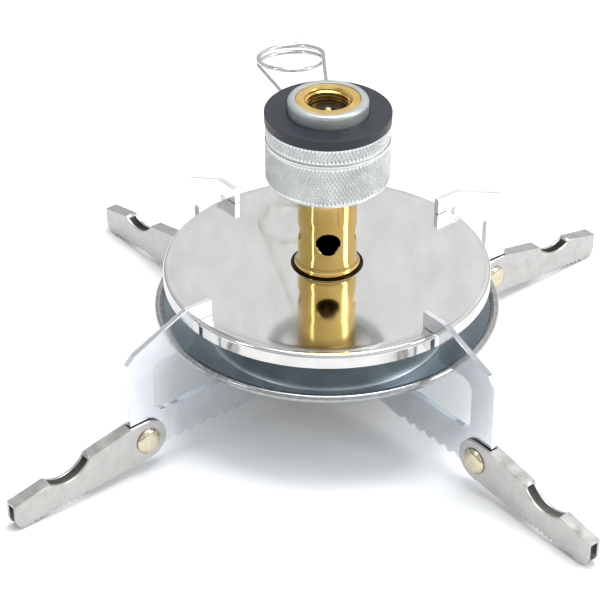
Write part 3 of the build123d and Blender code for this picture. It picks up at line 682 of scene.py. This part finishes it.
def polished_pan():
    top, low, outer = top_of("reflector_pan"), bottom_of("reflector_pan"), radius_of("reflector_pan")
    middle = top - PAN_SHEET / 2
    side = outer - PAN_SHEET / 2
    line = [Vector((radius, middle)) for radius in (PAN_HOLE, PAN_HOLE + 0.3, 14, 20, 26, 32, 37)]
    pressed = middle - CREASE_DEPTH
    line += [Vector((PAN_CREASE - 0.35, middle)), Vector((PAN_CREASE - 0.1, pressed)),
             Vector((PAN_CREASE + 0.1, pressed)), Vector((PAN_CREASE + 0.3, middle))]
    line += rounded([(PAN_CREASE + 0.3, middle, 0), (side, middle, PAN_SHOULDER),
                     (side, low, 0)], 7)[1:]
    return piece("polished_pan", turned(sheet_loop(line, PAN_SHEET), 160), [PAN_STEEL],
                 "reflector_pan", 50)


def rolled_bowl():
    top, low, outer = top_of("burner_bowl"), bottom_of("burner_bowl"), radius_of("burner_bowl")
    half = BOWL_SHEET / 2
    drum = DRUM_RADIUS - half
    base = low + half + 0.02
    rim = Vector((outer - RIM_TUBE, low + RIM_RISE))
    foot = Vector((drum, base))
    run = rim - foot
    pull = (foot + rim) / 2 + Vector((run.y, -run.x)).normalized() * 2 * DISH_SAG
    dish = []
    for step in range(1, DISH_STEPS + 1):
        share = step / DISH_STEPS
        dish.append(foot.lerp(pull, share).lerp(pull.lerp(rim, share), share))
    line = rounded([(BOWL_HOLE, top - half, 0), (drum, top - half, 1.3),
                    (drum, base, 1.6), (*dish[DISH_START], 0)], 7)
    line += [point for point in dish[DISH_START + 1:] if (rim - point).length > RIM_TUBE + 0.1]
    back = line[-1] - rim
    toward = math.atan2(back.y, back.x)
    open_half = math.asin(half / RIM_TUBE)
    bead = []
    for step in range(BEAD_STEPS + 1):
        turn = toward - open_half - (FULL_TURN - 2 * open_half) * step / BEAD_STEPS
        bead.append(rim + Vector((math.cos(turn), math.sin(turn))) * RIM_TUBE)
    loop = sheet_loop(line, BOWL_SHEET)
    half_way = len(line)
    profile = loop[:half_way] + bead + loop[half_way:]
    bm = turned(profile, 160)
    for face in bm.faces:
        middle = face.calc_center_median() / MM
        away = (Vector((flat_reach(middle), middle.z)) - rim).length
        face.material_index = 1 if away < RIM_TUBE + 0.2 else 0
    return piece("rolled_bowl", bm, [BOWL_ZINC, RIM_STEEL], "burner_bowl", 50)


# ---------------------------------------------------------------- arms and channels
EDGE_EASE = 0.12
BEND_RADIUS = 0.7
BURR_EASE = 0.08


def eased_arm(number):
    node = "support_arm_" + str(number)
    bm = copy_of(node)
    ease(bm, sharp_edges(bm), EDGE_EASE, 2)
    return piece("eased_arm_" + str(number), flats_flat(bm), [ARM_ZINC],
                 node, 60)


def bend_edges(bm, across):
    """The two long edges where the channel's web is bent down into its walls."""
    half = max(abs(vert.co.dot(across)) for vert in bm.verts)
    out = Vector((across.y, -across.x, 0))
    found = []
    for edge in sharp_edges(bm, 70):
        if any(abs(abs(vert.co.dot(across)) - half) > 1e-5 for vert in edge.verts):
            continue
        sides = sorted(edge.link_faces, key=lambda face: abs(face.normal.dot(across)))
        if sides[0].normal.z > 0.9 and abs(sides[1].normal.dot(across)) > 0.95:
            found.append(edge)
    ends = [vert for edge in found for vert in edge.verts]
    near = min(ends, key=lambda vert: vert.co.dot(out)).co
    far = max(ends, key=lambda vert: vert.co.dot(out)).co
    slope = (far.z - near.z) / (far - near).dot(out)
    straight = []
    for edge in found:
        offsets = [abs(vert.co.z - near.z - slope * (vert.co - near).dot(out))
                   for vert in edge.verts]
        if max(offsets) < 0.03 * MM:
            straight.append(edge)
    return straight


def bent_channel(number):
    node = "arm_extension_" + str(number)
    across = Vector(joints["extension_" + str(number) + "_fold"]["axis"])
    bm = copy_of(node)
    ease(bm, bend_edges(bm, across), BEND_RADIUS, 5)
    ease(bm, sharp_edges(bm, 50), BURR_EASE, 1)
    return piece("bent_channel_" + str(number), flats_flat(bm), [CHANNEL_STEEL],
                 node, 60)


RIVET_RADIUS = 3.4
RIVET_SHANK = 1.5
RIVET_HEAD = 1.2           # head's height


def domed_rivet(number):
    node = "pivot_rivet_" + str(number)
    joint = joints["extension_" + str(number) + "_fold"]
    axis = Vector(joint["axis"])
    centre = Vector(joint["pos_m"])
    reach = max(abs((vert.co - centre).dot(axis)) for vert in frame["nodes"][node].data.vertices)
    end = reach / MM
    under = end - RIVET_HEAD
    half = [(0, end), (1.2, end - 0.02), (2.0, end - 0.1), (2.55, end - 0.25),
            (2.95, end - 0.48), (3.25, end - 0.75), (RIVET_RADIUS, under + 0.2),
            (RIVET_RADIUS - 0.04, under + 0.04), (RIVET_RADIUS - 0.15, under),
            (RIVET_SHANK, under)]
    profile = half + [(radius, -height) for radius, height in reversed(half)]
    place = Matrix.Translation(centre) @ axis.to_track_quat("Z", "Y").to_matrix().to_4x4()
    return piece("domed_rivet_" + str(number), turned(profile, 48, False, place), [NICKEL],
                 node, 50)


# ---------------------------------------------------------------- valve
def eased_copy(name, node, material, offset_mm):
    bm = copy_of(node)
    ease(bm, sharp_edges(bm), offset_mm, 3)
    return piece(name, flats_flat(bm, 3.0), [material], node, 50)


knurled_body()
rubber_ring()
threaded_insert()
inlet_gasket()
opener_pin()
brass_tube()
polished_pan()
rolled_bowl()
for arm in ARMS:
    eased_arm(arm)
    bent_channel(arm)
    domed_rivet(arm)
eased_copy("eased_gland", "gland_nut", BRASS, 0.2)
eased_copy("eased_spindle", "valve_spindle", BRASS, 0.12)
paint("handle_wire", WIRE)
paint("spindle_oring", NITRILE)
paint("gas_jet", BRASS)
paint("tube_lock_nut", BRASS)
paint("burner_head", HEAD_STEEL)
paint("burner_screen", GAUZE)


# ---------------------------------------------------------------- studio
PAPER_REACH = 3            # metres, half the sheet's side


def white_paper():
    """Seamless matte white paper, pale, that takes soft shadows."""
    return surface("white_paper", ("#eef0f1", "#f1f2f3"), (0.8, 0.9),
                   (60.0, 2.0, EVEN), (1.0, 2.0, EVEN, 0.002))


def paper_floor():
    bm = bmesh.new()
    bmesh.ops.create_grid(bm, x_segments=1, y_segments=1, size=PAPER_REACH)
    mesh = bpy.data.meshes.new("floor")
    bm.to_mesh(mesh)
    bm.free()
    mesh.materials.append(white_paper())
    floor = bpy.data.objects.new("floor", mesh)
    bpy.context.scene.collection.objects.link(floor)


# Each band of the room adds brightness as the direction climbs: start, end, low, high.
WALL = (0.12, 0.4, 0.5, 0.98)
DIM_CEILING = (0.62, 0.8, 0.0, -0.45)
SKYLIGHT = (0.86, 1, 0, 1.6)
WINDOW_WAY = (0.9, 0.1, 0)     # the side of the room that is brighter


def soft_room():
    """World light: grey walls, a dimmer ceiling, a bright skylight, brighter on one side."""
    room = bpy.data.worlds.new("soft_room")
    bpy.context.scene.world = room
    room.use_nodes = True
    tree = room.node_tree
    tree.nodes.clear()
    toward = add(tree, "ShaderNodeTexCoord").outputs["Generated"]
    height = add(tree, "ShaderNodeSeparateXYZ", {0: toward}).outputs["Z"]
    levels = []
    for start, end, low, high in (WALL, DIM_CEILING, SKYLIGHT):
        levels.append(add(tree, "ShaderNodeMapRange", {
            "Value": height, "From Min": start, "From Max": end,
            "To Min": low, "To Max": high}).outputs[0])
    lower = add(tree, "ShaderNodeMath", {0: levels[0], 1: levels[1]}).outputs[0]
    both = add(tree, "ShaderNodeMath", {0: lower, 1: levels[2]})
    lean = add(tree, "ShaderNodeVectorMath", {0: toward, 1: WINDOW_WAY},
               operation="DOT_PRODUCT")
    side = add(tree, "ShaderNodeMapRange", {
        "Value": lean.outputs["Value"], "From Min": -0.7, "From Max": 0.7,
        "To Min": 0.75, "To Max": 1.25})
    shade = add(tree, "ShaderNodeMath", {0: both.outputs[0], 1: side.outputs[0]},
                operation="MULTIPLY")
    # The backdrop itself stays plain white to the camera; the bands only light the stove.
    seen = add(tree, "ShaderNodeLightPath")
    strength = add(tree, "ShaderNodeMix", {
        0: seen.outputs["Is Camera Ray"], 2: shade.outputs[0], 3: 1.0}, data_type="FLOAT")
    background = add(tree, "ShaderNodeBackground", {
        "Color": linear("#fdfeff"), "Strength": strength.outputs[0]})
    add(tree, "ShaderNodeOutputWorld", {"Surface": background.outputs["Background"]})


AIM = Vector((0, 0, 0.03))
SOFT_BOXES = (              # name, place, width, height, power
    ("overhead_box", (0.12, 0.15, 1.2), 0.6, 0.6, 8.0),
    ("right_box", (0.95, -0.2, 0.62), 0.3, 0.7, 4.0),
    ("left_box", (-0.8, -0.5, 0.62), 0.1, 0.5, 0.8))


def soft_box(name, place, width, height, power):
    lamp = bpy.data.lights.new(name, "AREA")
    lamp.shape = "RECTANGLE"
    lamp.size = width
    lamp.size_y = height
    lamp.energy = power
    box = bpy.data.objects.new(name, lamp)
    box.location = place
    box.rotation_euler = (AIM - box.location).to_track_quat("-Z", "Y").to_euler()
    bpy.context.scene.collection.objects.link(box)


CAMERA_PLACE = (0, -0.46746, 0.33427)
CAMERA_TILT = 32.7         # degrees down from level
CAMERA_TURN = 0.83
LENS = 132.8094            # millimetres, on a sensor 36 mm wide
SENSOR = 36
FRAME_SHIFT = -0.0541667   # of the sensor's width


def set_camera():
    camera = bpy.data.objects.new("camera", bpy.data.cameras.new("camera"))
    bpy.context.scene.collection.objects.link(camera)
    camera.location = CAMERA_PLACE
    camera.rotation_euler = (math.radians(90 - CAMERA_TILT), 0, math.radians(CAMERA_TURN))
    camera.data.lens = LENS
    camera.data.sensor_width = SENSOR
    camera.data.shift_y = FRAME_SHIFT
    bpy.context.scene.camera = camera
    bpy.context.scene.view_settings.view_transform = "Standard"


paper_floor()
soft_room()
for soft_box_facts in SOFT_BOXES:
    soft_box(*soft_box_facts)
set_camera()
